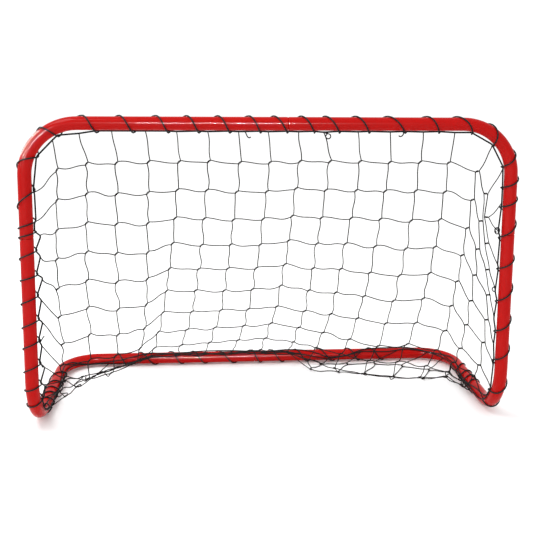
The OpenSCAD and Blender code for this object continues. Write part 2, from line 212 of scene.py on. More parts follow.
class GoalNet(bpy.types.PropertyGroup):
    """The knotted net"""
    twine: length("Twine", "Diameter of the net's twine", 2.1, 0.5, 4)
    knot: length("Knot", "Length of a knot", 9, 2, 12)
    black: colour("Twine colour", "Colour of the twine", (0.007, 0.006, 0.006))
    back_bar: mesh_bar("Back bar", "Upright mesh bar in the upper middle of the back", 61)
    low_bar: mesh_bar("Low back bar", "Upright mesh bar in the lower middle of the back", 62.5)
    left_bar: mesh_bar("Left bar", "Upright mesh bar at the left side", 54.5)
    right_bar: mesh_bar("Right bar", "Upright mesh bar at the right side", 55)
    panel_bar: mesh_bar("Side panel bar", "Upright mesh bar in the right side panel", 54.5)
    top_bar: mesh_bar("Top cross bar", "Level mesh bar under the crossbar", 54.5)
    foot_bar: mesh_bar("Foot cross bar", "Level mesh bar at the rear bar", 64)


class GoalStage(bpy.types.PropertyGroup):
    """The camera, floor and light"""
    height: length("Camera height", "Height of the camera", 700, 50, 5000)
    lens: bpy.props.FloatProperty(
        name="Lens", description="Focal length of the camera", unit="CAMERA", default=55.28,
        min=10, max=300)


# ---------------------------------------------------------------- the route round the frame

STEP = 2 * MM


def stretch(start, end, inward, outside):
    """Rows of place, inward direction and outside direction along a straight tube."""
    start, end = np.array(start, float), np.array(end, float)
    count = max(2, int(np.linalg.norm(end - start) / STEP))
    share = np.linspace(0, 1, count)[:, None]
    return np.hstack([start + share * (end - start),
                      np.tile(inward, (count, 1)), np.tile(outside, (count, 1))])


def bend(centre, radius, first, last, inward=None, outside=None):
    """The same along a quarter bend. The direction that isn't given turns with the bend."""
    count = int(radius * math.pi / 2 / STEP)
    turn = np.linspace(0, math.pi / 2, count)[:, None]
    radial = np.cos(turn) * np.array(first, float) + np.sin(turn) * np.array(last, float)
    inward = -radial if inward is None else np.tile(inward, (count, 1))
    outside = radial if outside is None else np.tile(outside, (count, 1))
    return np.hstack([np.array(centre, float) + radius * radial, inward, outside])


RIGHT, LEFTWARD = np.array([1.0, 0, 0]), np.array([-1.0, 0, 0])
BACK, FRONT = np.array([0, 1.0, 0]), np.array([0, -1.0, 0])
UP, DOWN = np.array([0, 0, 1.0]), np.array([0, 0, -1.0])

CORNER_X = POST_X - CORNER_R
CORNER_Z = TOP_Z - CORNER_R
FOOT_Y = FRONT_Y + CORNER_R
FOOT_Z = GROUND_Z + CORNER_R
REAR_CORNER_X = POST_X - REAR_CORNER_R
REAR_CORNER_Y = REAR_Y - REAR_CORNER_R

HALF_FRAME = np.vstack([
    stretch((0, FRONT_Y, TOP_Z), (CORNER_X, FRONT_Y, TOP_Z), DOWN, FRONT),
    bend((CORNER_X, FRONT_Y, CORNER_Z), CORNER_R, UP, RIGHT, outside=FRONT),
    stretch((POST_X, FRONT_Y, CORNER_Z), (POST_X, FRONT_Y, FOOT_Z), LEFTWARD, FRONT),
    bend((POST_X, FOOT_Y, FOOT_Z), CORNER_R, FRONT, DOWN, inward=LEFTWARD),
    stretch((POST_X, FOOT_Y, GROUND_Z), (POST_X, REAR_CORNER_Y, GROUND_Z), LEFTWARD, DOWN),
    bend((REAR_CORNER_X, REAR_CORNER_Y, GROUND_Z), REAR_CORNER_R, RIGHT, BACK, outside=DOWN),
    stretch((REAR_CORNER_X, REAR_Y, GROUND_Z), (0, REAR_Y, GROUND_Z), FRONT, DOWN),
])
RUN = np.concatenate([[0], np.cumsum(np.linalg.norm(np.diff(HALF_FRAME[:, :3], axis=0), axis=1))])
HALF_LENGTH = RUN[-1]
MIRROR = np.array([-1.0, 1.0, 1.0])


def spot(along):
    """Centre, inward and outside directions of the tube at these distances along the frame."""
    along = np.atleast_1d(np.asarray(along, float))
    row = np.stack([np.interp(np.abs(along), RUN, HALF_FRAME[:, k]) for k in range(9)], -1)
    flip = np.where(along[:, None] < 0, MIRROR, 1.0)
    return row[:, 0:3] * flip, row[:, 3:6] * flip, row[:, 6:9] * flip


def rear(across):
    """The distance along the frame of a place on the ground, measured from the rear middle."""
    across = np.atleast_1d(np.asarray(across, float))
    return np.where(across < 0, -1.0, 1.0) * (HALF_LENGTH - np.abs(across))


def wound(turns, radius, border, lead=None):
    """A cord wound round the tube, given where each turn leaves the outside and its run across.

    It hooks round the outside, runs straight to the net, rides over the border there and slants
    back behind the tube. The lead is the place it comes on from.
    """
    places = [] if lead is None else [lead]
    angles = [] if lead is None else [-1]
    for number, (outer, run) in enumerate(turns):
        places += [outer, outer + run]
        angles += [2 * number, 2 * number + 1]
    angle = np.linspace(angles[0], angles[-1], POINTS_PER_TURN * len(turns))
    part = angle % 2
    hooked = np.where(part < 1, HOOK * np.sin(math.pi * part / 2) + SLANT * part, part)
    centre, inward, outside = spot(np.interp(angle - part + hooked, angles, places))
    past = 180 * ((angle - RIDE_PLACE) % 2 - 1)
    radius = (radius + ridden(past, border))[:, None]
    turn = math.pi * (1 - angle)[:, None]
    return centre + radius * (np.cos(turn) * inward + np.sin(turn) * outside)


def ridden(past, border):
    """How far a turn stands off the tube to ride over the border, by the degrees past it."""
    return (border + BORDER_GAP) * np.exp(-(past / RIDE_SPREAD) ** 2)


def above_floor(points, least):
    """Lifts points that lie lower than this height above the floor."""
    points = np.array(points)
    points[:, 2] = np.maximum(points[:, 2], least)
    return points


def placed(name, data):
    """A new object of this data in the scene."""
    made = bpy.data.objects.new(name, data)
    bpy.context.scene.collection.objects.link(made)
    return made


# ---------------------------------------------------------------- node trees

def node(tree, kind, **sockets):
    """A node with its inputs set, by name with underscores for spaces, or linked."""
    made = tree.nodes.new(kind)
    for name, value in sockets.items():
        plug(tree, made, name.replace("_", " "), value)
    return made


def plug(tree, made, name, value):
    """Sets or links one input of a node. The input is a name or a number."""
    socket = made.inputs[name]
    if isinstance(value, bpy.types.NodeSocket):
        tree.links.new(value, socket)
    else:
        socket.default_value = value


def maths(tree, operation, *values):
    """A Math node's result."""
    made = tree.nodes.new("ShaderNodeMath")
    made.operation = operation
    for place, value in enumerate(values):
        plug(tree, made, place, value)
    return made.outputs[0]


def new_tree(name, inputs):
    """A Geometry Nodes tree with a geometry input and output and these named inputs."""
    tree = bpy.data.node_groups.new(name, "GeometryNodeTree")
    face = tree.interface
    face.new_socket("Geometry", in_out="INPUT", socket_type="NodeSocketGeometry")
    for label, kind, value in inputs:
        made = face.new_socket(label, in_out="INPUT", socket_type=kind)
        if value is not None:
            made.default_value = value
    face.new_socket("Geometry", in_out="OUTPUT", socket_type="NodeSocketGeometry")
    return tree, tree.nodes.new("NodeGroupInput"), tree.nodes.new("NodeGroupOutput")


def closed(tree, geometry, given, result):
    """Ends a tree: its instances are made real and given their material."""
    whole = node(tree, "GeometryNodeRealizeInstances", Geometry=geometry)
    coat = node(tree, "GeometryNodeSetMaterial", Geometry=whole.outputs["Geometry"],
                Material=given.outputs["Material"])
    tree.links.new(coat.outputs["Geometry"], result.inputs["Geometry"])
    return tree


def stored(tree, geometry, name, kind, value):
    """Stores a named attribute on a geometry's points."""
    made = node(tree, "GeometryNodeStoreNamedAttribute", Geometry=geometry, Name=name)
    made.data_type = kind
    plug(tree, made, "Value", value)
    return made.outputs["Geometry"]


def recalled(tree, name, kind):
    """A named attribute of a geometry's points."""
    made = node(tree, "GeometryNodeInputNamedAttribute", Name=name)
    made.data_type = kind
    return made.outputs["Attribute"]


def swept(tree, path, thickness, sides):
    """A tube along a curve, whose surface knows its run along it and its place round it."""
    parameter = tree.nodes.new("GeometryNodeSplineParameter")
    path = stored(tree, path, "run", "FLOAT", parameter.outputs["Length"])
    half = maths(tree, "MULTIPLY", thickness, 0.5)
    ring = node(tree, "GeometryNodeCurvePrimitiveCircle", Resolution=sides, Radius=half)
    way = tree.nodes.new("ShaderNodeVectorMath")
    way.operation = "NORMALIZE"
    plug(tree, way, 0, tree.nodes.new("GeometryNodeInputPosition").outputs[0])
    ring = stored(tree, ring.outputs["Curve"], "around", "FLOAT_VECTOR", way.outputs[0])
    tube = node(tree, "GeometryNodeCurveToMesh", Curve=path, Profile_Curve=ring, Fill_Caps=True)
    smooth = node(tree, "GeometryNodeSetShadeSmooth", Geometry=tube.outputs["Mesh"])
    return smooth.outputs["Geometry"]


def cord_tree():
    """Turns chains of edges into round cords."""
    tree, given, result = new_tree("Cord along a path", [
        ("Thickness", "NodeSocketFloat", 3 * MM),
        ("Sides", "NodeSocketInt", CORD_SIDES),
        ("Material", "NodeSocketMaterial", None)])
    path = node(tree, "GeometryNodeMeshToCurve", Mesh=given.outputs["Geometry"])
    cord = swept(tree, path.outputs["Curve"], given.outputs["Thickness"], given.outputs["Sides"])
    return closed(tree, cord, given, result)


def netting_tree():
    """Turns chains of edges into twine, and the points marked as knots into knots."""
    tree, given, result = new_tree("Knotted netting", [
        ("Twine", "NodeSocketFloat", 2 * MM),
        ("Knot length", "NodeSocketFloat", 9 * MM),
        ("Sides", "NodeSocketInt", TWINE_SIDES),
        ("Material", "NodeSocketMaterial", None)])
    parts = node(tree, "GeometryNodeSeparateGeometry", Geometry=given.outputs["Geometry"],
                 Selection=recalled(tree, "knot", "BOOLEAN"))
    path = node(tree, "GeometryNodeMeshToCurve", Mesh=parts.outputs["Inverted"])
    twine = swept(tree, path.outputs["Curve"], given.outputs["Twine"], given.outputs["Sides"])
    turned = node(tree, "FunctionNodeAlignRotationToVector",
                  Vector=recalled(tree, "aim", "FLOAT_VECTOR"))
    turned.axis = "Z"
    body = knot_body(tree, given.outputs["Twine"], given.outputs["Knot length"])
    knots = node(tree, "GeometryNodeInstanceOnPoints", Points=parts.outputs["Selection"],
                 Instance=body, Rotation=turned.outputs["Rotation"])
    both = tree.nodes.new("GeometryNodeJoinGeometry")
    tree.links.new(knots.outputs["Instances"], both.inputs["Geometry"])
    tree.links.new(twine, both.inputs["Geometry"])
    return closed(tree, both.outputs["Geometry"], given, result)


def knot_body(tree, twine, knot):
    """One knot: a short coil of twine round the strands, swept along a small helix."""
    half = maths(tree, "MULTIPLY", twine, 0.5)
    coil = node(tree, "GeometryNodeCurveSpiral", Resolution=8, Rotations=KNOT_TURNS,
                Start_Radius=half, End_Radius=half,
                Height=maths(tree, "MULTIPLY", knot, KNOT_HEIGHT))
    thickness = maths(tree, "MULTIPLY", twine, KNOT_THICKNESS)
    body = swept(tree, coil.outputs["Curve"], thickness, TWINE_SIDES)
    down = maths(tree, "MULTIPLY", knot, -KNOT_HEIGHT / 2)
    shift = node(tree, "ShaderNodeCombineXYZ", Z=down)
    centred = node(tree, "GeometryNodeTransform", Geometry=body, Translation=shift.outputs[0])
    return centred.outputs["Geometry"]


def chains(name, lines, knots=(), aims=()):
    """An object of edge chains, one for each line of points, and loose points for knots."""
    places, edges = [], []
    for line in lines:
        first = len(places)
        places += [tuple(p) for p in line]
        edges += [(k, k + 1) for k in range(first, first + len(line) - 1)]
    strand_points = len(places)
    places += [tuple(p) for p in knots]
    mesh = bpy.data.meshes.new(name)
    mesh.from_pydata(places, edges, [])
    mark = mesh.attributes.new("knot", "BOOLEAN", "POINT")
    mark.data.foreach_set("value", [k >= strand_points for k in range(len(places))])
    aim = mesh.attributes.new("aim", "FLOAT_VECTOR", "POINT")
    ways = [(0.0, 0.0, 1.0)] * strand_points + [tuple(a) for a in aims]
    aim.data.foreach_set("vector", [x for way in ways for x in way])
    return placed(name, mesh)


def grown(made, tree, **inputs):
    """Runs a node tree on an object and keeps the result as a plain mesh."""
    modifier = made.modifiers.new("Grow", "NODES")
    modifier.node_group = tree
    sockets = {item.name: item.identifier for item in tree.interface.items_tree
               if item.item_type == "SOCKET" and item.in_out == "INPUT"}
    for label, value in inputs.items():
        modifier[sockets[label.replace("_", " ")]] = value
    bpy.context.view_layer.update()
    graph = bpy.context.evaluated_depsgraph_get()
    mesh = bpy.data.meshes.new_from_object(made.evaluated_get(graph))
    made.modifiers.remove(modifier)
    made.data = mesh
    mesh.name = made.name


def flattened(made):
    """Presses a piece flat where it would reach lower than the floor."""
    places = np.empty(len(made.data.vertices) * 3)
    made.data.vertices.foreach_get("co", places)
    places[2::3] = np.maximum(places[2::3], 0)
    made.data.vertices.foreach_set("co", places)
    made.data.update()


def settled(made, slot, *nodes):
    """Puts a finished piece on the goal's body, in the place of these nodes."""
    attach(made, BODY)
    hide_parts(*nodes)


# ---------------------------------------------------------------- materials

# Places of a Mix node's share and two colours, and of the colour that it gives
MIX_INPUTS, MIX_RESULT = (0, 6, 7), 2


def new_material(name):
    """A material with an empty tree and a Principled shader: the material, tree and shader."""
    made = bpy.data.materials.new(name)
    made.use_nodes = True
    tree = made.node_tree
    tree.nodes.clear()
    shader = tree.nodes.new("ShaderNodeBsdfPrincipled")
    output = tree.nodes.new("ShaderNodeOutputMaterial")
    tree.links.new(shader.outputs[0], output.inputs["Surface"])
    return made, tree, shader


def attribute(tree, name, output="Fac"):
    """A named attribute of the surface."""
    made = tree.nodes.new("ShaderNodeAttribute")
    made.attribute_name = name
    return made.outputs[output]


def mixed(tree, share, first, second):
    """A colour between two colours."""
    made = tree.nodes.new("ShaderNodeMix")
    made.data_type = "RGBA"
    for place, value in zip(MIX_INPUTS, (share, first, second)):
        plug(tree, made, place, value)
    return made.outputs[MIX_RESULT]


def noise(tree, scale, detail):
    """A cloudy pattern that stays where it is on the goal."""
    place = tree.nodes.new("ShaderNodeTexCoord").outputs["Object"]
    made = node(tree, "ShaderNodeTexNoise", Vector=place, Scale=scale, Detail=detail)
    return made.outputs["Fac"]


def raised(tree, shader, height, strength, depth):
    """Gives a surface fine relief."""
    bump = node(tree, "ShaderNodeBump", Height=height, Strength=strength, Distance=depth)
    plug(tree, shader, "Normal", bump.outputs["Normal"])


def gloss_paint(red, roughness):
    """Gloss paint on steel: faint clouds, flow marks, a little dust and a fine orange peel."""
    made, tree, shader = new_material("gloss_red_paint")
    darker = (red[0] * 0.86, red[1] * 0.7, red[2] * 0.7, 1)
    tint = mixed(tree, noise(tree, 9.0, 3.0), (*red, 1), darker)
    speck = maths(tree, "GREATER_THAN", noise(tree, 420.0, 2.0), 0.72)
    dust = maths(tree, "MULTIPLY", speck, 0.03)
    plug(tree, shader, "Base Color", mixed(tree, dust, tint, (0.8, 0.42, 0.4, 1)))
    flow = maths(tree, "MULTIPLY_ADD", noise(tree, 55.0, 2.0), 0.10, roughness - 0.05)
    plug(tree, shader, "Roughness", flow)
    raised(tree, shader, noise(tree, 260.0, 1.0), 0.02, 0.4 * MM)
    shader.inputs["Specular IOR Level"].default_value = 0.03
    shader.inputs["Coat Weight"].default_value = 0.12
    shader.inputs["Coat Roughness"].default_value = 0.05
    return made


def twisted(tree, pitch, hand=1.0):
    """A wave that winds round the cord once in each pitch."""
    around = tree.nodes.new("ShaderNodeSeparateXYZ")
    tree.links.new(attribute(tree, "around", "Vector"), around.inputs[0])
    phase = maths(tree, "MULTIPLY", attribute(tree, "run"), 2 * math.pi / pitch)
    first = maths(tree, "MULTIPLY", maths(tree, "SINE", phase), around.outputs["X"])
    second = maths(tree, "MULTIPLY", maths(tree, "COSINE", phase), around.outputs["Y"])
    return maths(tree, "MULTIPLY_ADD", second, hand, first)


def braided_cord(name, black, pitch):
    """Black braided cord: two sets of strands wound against each other, faded on their crowns."""
    made, tree, shader = new_material(name)
    weave = maths(tree, "MULTIPLY", twisted(tree, pitch), twisted(tree, pitch, -1.0))
    crown = maths(tree, "MULTIPLY_ADD", weave, 0.5, 0.5)
    share = maths(tree, "MULTIPLY", crown, noise(tree, 30.0, 4.0))
    faded = (black[0] * 2.4, black[1] * 2.4, black[2] * 2.4, 1)
    plug(tree, shader, "Base Color", mixed(tree, share, (*black, 1), faded))
    plug(tree, shader, "Roughness", maths(tree, "MULTIPLY_ADD", crown, -0.15, 0.75))
    raised(tree, shader, crown, 0.6, 0.4 * MM)
    shader.inputs["Specular IOR Level"].default_value = 0.05
    shader.inputs["Sheen Weight"].default_value = 0.03
    return made


def twisted_twine(black, pitch):
    """Black net twine: a plain lay with fine fuzz, a little brown where it has faded."""
    made, tree, shader = new_material("black_net_twine")
    lay = maths(tree, "MULTIPLY_ADD", twisted(tree, pitch), 0.5, 0.5)
    share = maths(tree, "MULTIPLY", lay, noise(tree, 14.0, 3.0))
    faded = (black[0] * 2.8, black[1] * 2.3, black[2] * 2.1, 1)
    plug(tree, shader, "Base Color", mixed(tree, share, (*black, 1), faded))
    fuzz = maths(tree, "MULTIPLY_ADD", noise(tree, 2200.0, 1.0), 0.3, lay)
    raised(tree, shader, fuzz, 0.5, 0.3 * MM)
    shader.inputs["Specular IOR Level"].default_value = 0.05
    shader.inputs["Roughness"].default_value = 0.8
    return made


def studio_floor():
    """A pale matt floor."""
    made, tree, shader = new_material("pale_floor")
    pale, paler = (0.87, 0.87, 0.87, 1), (0.89, 0.89, 0.89, 1)
    plug(tree, shader, "Base Color", mixed(tree, noise(tree, 2.0, 2.0), paler, pale))
    shader.inputs["Roughness"].default_value = 0.9
    return made


# ---------------------------------------------------------------- the border cords

def mouth_border(cords):
    """The mouth border: distances along the frame, and its places there.

    It runs straight from stop to stop, with its corners eased twice. It is tight at each turn of
    the lacing, and drawn off the tube at each tie of the net.
    """
    stops = [(outer + run, 0) for outer, run in MOUTH_TURNS]
    stops += [*TOP_TIES, *((-place, pull) for place, pull in LEFT_TIES), *RIGHT_TIES]
    end = MOUTH_END / MM
    stops = sorted([stop for stop in stops if abs(stop[0]) < end] + [(-end, 0), (end, 0)])
    along, pull = MM * np.array(stops, float).T
    centre, inward, outside = spot(along)
    off = TUBE_R + cords.border / 2 + CORD_GAP + pull
    corners = centre + off[:, None] * (BORDER_INWARD * inward - BORDER_BEHIND * outside)
    fine = np.arange(along[0], along[-1], STEP)
    line = np.stack([np.interp(fine, along, corners[:, k]) for k in range(3)], -1)
    for _ in range(2):
        line[1:-1] = (line[:-2] + line[1:-1] + line[2:]) / 3
    return fine, line


def border_places(along, cords):
    """Places on the mouth border."""
    fine, line = mouth_border(cords)
    return np.stack([np.interp(np.atleast_1d(along), fine, line[:, k]) for k in range(3)], -1)


def rear_lift(across):
    """How high the lower border lies on the rear bar, in degrees above its front."""
    return np.interp(across / MM, *np.array(REAR_LIFT, float).T)


def ground_border_places(along, cords, higher=0.0):
    """The lower border: low inside the rails, and up and down the front of the rear bar."""
    along = np.atleast_1d(np.asarray(along, float))
    centre, inward, outside = spot(along)
    lift = np.radians(rear_lift(np.sign(along) * (HALF_LENGTH - np.abs(along))) + higher)
    off = TUBE_R + cords.border / 2 + BORDER_GAP
    return centre + off * (np.cos(lift)[:, None] * inward - np.sin(lift)[:, None] * outside)


# ---------------------------------------------------------------- the net

def tie_places(cords):
    """Where the net is tied: along the top, down each side, and along the ground."""
    top, left, right = (MM * np.array(ties)[:, 0] for ties in (TOP_TIES, LEFT_TIES, RIGHT_TIES))

    def side(along):
        on_ground = (np.abs(along) > MOUTH_END)[:, None]
        return np.where(on_ground, ground_border_places(along, cords), border_places(along, cords))
    ground = ground_border_places(rear(MM * np.array(BOTTOM_TIES)), cords)
    return border_places(top, cords), side(-left), side(right), ground


def bar_lengths(net):
    """Lengths of the net's upright and level bars, row by row and column by column."""
    column = np.arange(-1, COLUMNS + 1)
    to_left = np.clip((LEFT_FADE - column) / LEFT_FADE, 0, 1)
    past_start = column - RIGHT_START
    to_right = np.clip(past_start / RIGHT_FADE, 0, 1)
    upright = np.full((ROWS + 1, column.size), net.back_bar)
    upright[LOW_ROW:] = net.low_bar
    upright += (net.left_bar - upright) * to_left
    upright += (net.right_bar - upright) * to_right
    upright[LOW_ROW:] += RIGHT_LOW_MORE * to_right
    upright[:, COLUMNS - 1:] = net.panel_bar
    upright[:, COLUMNS] -= PANEL_LESS
    upright[FLOOR_ROW:] += LEFT_FLOOR_MORE * to_left
    upright[FLOOR_ROW:] += RIGHT_FLOOR_MORE * np.clip(past_start / RIGHT_FLOOR_FADE, 0, 1)
    gathered = np.clip((np.abs(column - GATHER_MIDDLE) - GATHER_HALF) / GATHER_FADE, 0, 1)
    for row, least in GATHERED_ROWS:
        upright[row] *= np.maximum(gathered, least)
    for place, share in CORNER_COLUMNS:
        upright[SLACK_ROWS, place] *= share
    down = np.minimum(np.arange(ROWS + 2) / ROWS, 1)[:, None]
    level = np.tile(net.top_bar + (net.foot_bar - net.top_bar) * down, (1, COLUMNS + 1))
    for first, last, top, gain in SIDE_LEVELS:
        level[:, first:last] = top * MM + gain * MM * down
    level[SLACK_ROWS, COLUMNS - 2:] *= CORNER_LEVEL
    return upright, level


GRAVITY = 9.81
TIME_STEP = 1 / 120
HANG_STEPS = 260
HANG_PASSES = 14
# The share of its speed that a knot keeps in each step
KEPT_SPEED = 0.985
# The slack is drawn forward while the net is let down, by this much in each step
SPREAD_PULL = 0.8 * MM
SPREAD_STEPS = 160
# How firmly the floor holds a knot: while the slack is drawn forward, and after that
LOOSE_GRIP, FIRM_GRIP = 0.2, 0.7
# A knot lies on the floor below this height, in twines
ON_FLOOR = 1.1
# How far the net's knots stay from the middle of a ground tube
NET_CLEAR = TUBE_R + 3.5 * MM


def pulled(places, free, lengths, along_rows):
    """Shortens every bar that is longer than its twine, every second one at a time."""
    inside = slice(1, -1)
    for odd in (0, 1):
        if along_rows:
            first = (inside, slice(odd, -1, 2))
            second = (inside, slice(odd + 1, None, 2))
            most = lengths[1:-1, odd::2]
        else:
            first = (slice(odd, -1, 2), inside)
            second = (slice(odd + 1, None, 2), inside)
            most = lengths[odd::2, 1:-1]
        way = places[second] - places[first]
        span = np.linalg.norm(way, axis=-1) + 1e-9
        weight = np.maximum(free[first] + free[second], 1e-9)
        pull = way * (np.maximum(0, span - most) / span / weight)[..., None]
        places[first] += pull * free[first][..., None]
        places[second] -= pull * free[second][..., None]


def hung_net(net, cords):
    """The net's knots at rest: bars of twine between ties, let down until they hang still."""
    draw = np.random.default_rng(NET_SEED)
    top, left, right, ground = tie_places(cords)
    rows, columns = ROWS + 2, COLUMNS + 2
    upright, level = bar_lengths(net)
    level = level * (1 + UNEVEN * draw.uniform(-1, 1, (rows, columns - 1)))
    upright = upright * (1 + UNEVEN * draw.uniform(-1, 1, (rows - 1, columns)))
    share = (np.arange(rows) / (rows - 1))[:, None, None]
    places = np.zeros((rows, columns, 3))
    places[:, 1:-1] = (1 - share) * top + share * ground
    places[1:-1, 0], places[1:-1, -1] = left, right
    free = np.zeros((rows, columns))
    free[1:-1, 1:-1] = 1
    before = places.copy()
    front = REAR_Y - MM * np.array(SLACK, float) * np.array(SLACK_SHARES)
    slack = (SLACK_ROWS, slice(1, -1), 1)
    for step in range(HANG_STEPS):
        speed = (places - before) * KEPT_SPEED
        before = places.copy()
        places += speed * free[..., None]
        places[..., 2] -= GRAVITY * TIME_STEP ** 2 * free
        if step < SPREAD_STEPS:
            places[slack] = np.maximum(places[slack] - SPREAD_PULL, front)
        for _ in range(HANG_PASSES):
            pulled(places, free, upright, False)
            pulled(places, free, level, True)
            held_inside(places, free, net.twine)
        down = (places[..., 2] < net.twine * ON_FLOOR) & (free > 0)
        firm = FIRM_GRIP if step > SPREAD_STEPS else LOOSE_GRIP
        grip = np.where(down, firm, 0)[..., None]
        before[..., :2] += grip * (places - before)[..., :2]
    return places, upright, level


def held_inside(places, free, thickness):
    """Keeps the net's loose knots above the floor, before the rear bar and between the rails."""
    loose = free > 0
    low = loose & (places[..., 2] < thickness)
    places[..., 2] = np.where(low, thickness, places[..., 2])
    back = REAR_Y - NET_CLEAR
    behind = loose & (places[..., 1] > back) & (places[..., 2] < GROUND_Z + TUBE_R)
    places[..., 1] = np.where(behind, back, places[..., 1])
    reach = POST_X - NET_CLEAR
    places[..., 0] = np.where(loose, np.clip(places[..., 0], -reach, reach), places[..., 0])


def unit(way):
    """The direction of a way, one metre long."""
    return way / max(np.linalg.norm(way), 1e-9)


# The share of its swing that a bar shows, and the most that it can swing, in its lengths
SWING_SHOWN, SWING_MOST = 0.38, 0.3
# A bar's bow goes down and to one side, and its wave to both sides by at least a little
BOW_DOWN, BOW_SIDE = 0.7, 0.5
WAVE_SIDE, WAVE_LEAST = 0.6, 0.5 * MM


def strand(start, end, bar, draw, count=9):
    """One bar of twine between two knots: what it has to spare shows as a lazy wave."""
    way = end - start
    span = np.linalg.norm(way)
    spare = max(bar - span, 0.0)
    swing = SWING_SHOWN * min(math.sqrt(3 * span * spare / 8), SWING_MOST * bar)
    share = np.linspace(0, 1, count)[:, None]
    side = unit(np.cross(way, unit(draw.normal(size=3))))
    sag = DOWN - unit(way) * np.dot(DOWN, unit(way))
    bow = draw.uniform(0.2, 0.8)
    wave = WAVE_SIDE * swing * (1 - bow) + WAVE_LEAST
    line = start + share * way
    line = line + swing * bow * np.sin(math.pi * share) * (BOW_DOWN * sag + BOW_SIDE * side)
    return line + wave * np.sin(2 * math.pi * share) * (side * draw.choice((-1.0, 1.0)))


# ---------------------------------------------------------------- operators

# The camera's place on the floor, its yaw, pitch and roll in degrees, and the frame's shift
CAMERA_X, CAMERA_Y = -0.1144, -1.6607
CAMERA_TURN = (4.659, 8.491, 0.516)
CAMERA_SHIFT = (-0.0195, -0.156)
SENSOR_WIDTH = 36
FLOOR_HALF_WIDTH, FLOOR_HALF_DEPTH = 40.0, 60.0
WORLD_STRENGTH = 1.2
# Each lamp's place, target, width, height and power
KEY_LIGHT = ((-1.2, -0.7, 2.5), (0, 0, 0.4), 1.4, 1.0, 32)
CROSSBAR_GLINT = ((-0.07, -4.7, 1.4), (-0.07, -0.18, 0.58), 1.2, 0.14, 500)
# The glints on the upper left bend come from three lamps that are alike
BEND_GLINT_PLACES = ((-2.5, 0.7, 1.55), (-3.0, -1.4, 1.35), (-1.85, -2.7, 1.1))
BEND_GLINT = ((-0.42, -0.18, 0.55), 0.06, 1.3, 210)


class GOAL_OT_stage(bpy.types.Operator):
    """Sets up the camera, the pale floor and soft studio light"""
    bl_idname = "goal.stage"
    bl_label = "Set the stage"

    def execute(self, context):
        props = context.scene.goal_stage
        data = bpy.data.cameras.new("camera")
        data.sensor_width = SENSOR_WIDTH
        data.lens = props.lens
        data.shift_x, data.shift_y = CAMERA_SHIFT
        camera = placed("camera", data)
        camera.matrix_world = view_matrix((CAMERA_X, CAMERA_Y, props.height), *CAMERA_TURN)
        context.scene.camera = camera
        ground = bpy.data.meshes.new("floor")
        wide, deep = FLOOR_HALF_WIDTH, FLOOR_HALF_DEPTH
        ground.from_pydata([(-wide, -deep, 0), (wide, -deep, 0), (wide, deep, 0),
                            (-wide, deep, 0)], [], [(0, 1, 2, 3)])
        ground.materials.append(studio_floor())
        floor = placed("floor", ground)
        soft_light("key_light", *KEY_LIGHT)
        glint_light("strip_light", *CROSSBAR_GLINT)
        for number, place in enumerate(BEND_GLINT_PLACES):
            glint_light(f"edge_light_{number}", place, *BEND_GLINT)
        world = bpy.data.worlds.new("studio")
        context.scene.world = world
        world.use_nodes = True
        backdrop = world.node_tree.nodes["Background"]
        backdrop.inputs["Color"].default_value = (1, 1, 1, 1)
        backdrop.inputs["Strength"].default_value = WORLD_STRENGTH
        context.scene.view_settings.view_transform = "Standard"
        return {"FINISHED"}


def view_matrix(place, yaw, pitch, roll):
    """The camera's matrix: turned right by yaw, down by pitch and tilted by roll, in degrees."""
    yaw, pitch, roll = (math.radians(a) for a in (yaw, pitch, roll))
    ahead = Vector((math.sin(yaw) * math.cos(pitch), math.cos(yaw) * math.cos(pitch),
                    -math.sin(pitch)))
    right = Vector((math.cos(yaw), -math.sin(yaw), 0))
    up = right.cross(ahead)
    right, up = (math.cos(roll) * right + math.sin(roll) * up,
                 -math.sin(roll) * right + math.cos(roll) * up)
    turn = Matrix((right, up, -ahead)).transposed().to_4x4()
    return Matrix.Translation(place) @ turn


def soft_light(name, place, target, width, height, power):
    """A rectangular soft box aimed at a point."""
    data = bpy.data.lights.new(name, "AREA")
    data.shape = "RECTANGLE"
    data.size, data.size_y = width, height
    data.energy = power
    lamp = placed(name, data)
    lamp.location = place
    way = Vector(target) - Vector(place)
    lamp.rotation_euler = way.to_track_quat("-Z", "Y").to_euler()
    return lamp


def glint_light(name, *settings):
    """A narrow soft box that shows only as a glint on the paint."""
    soft_light(name, *settings).visible_diffuse = False


TUBES = ("top_left_tube", "top_right_tube", "left_leg_tube", "right_leg_tube",
         "rear_left_tube", "rear_right_tube")


class GOAL_OT_tubes(bpy.types.Operator):
    """Paints the six tubes"""
    bl_idname = "goal.tubes"
    bl_label = "Paint the tubes"

    def execute(self, context):
        props = context.scene.goal_tubes
        paint = gloss_paint(tuple(props.paint), props.gloss)
        for name in TUBES:
            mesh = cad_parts[name].data
            mesh.materials.clear()
            mesh.materials.append(paint)
        return {"FINISHED"}


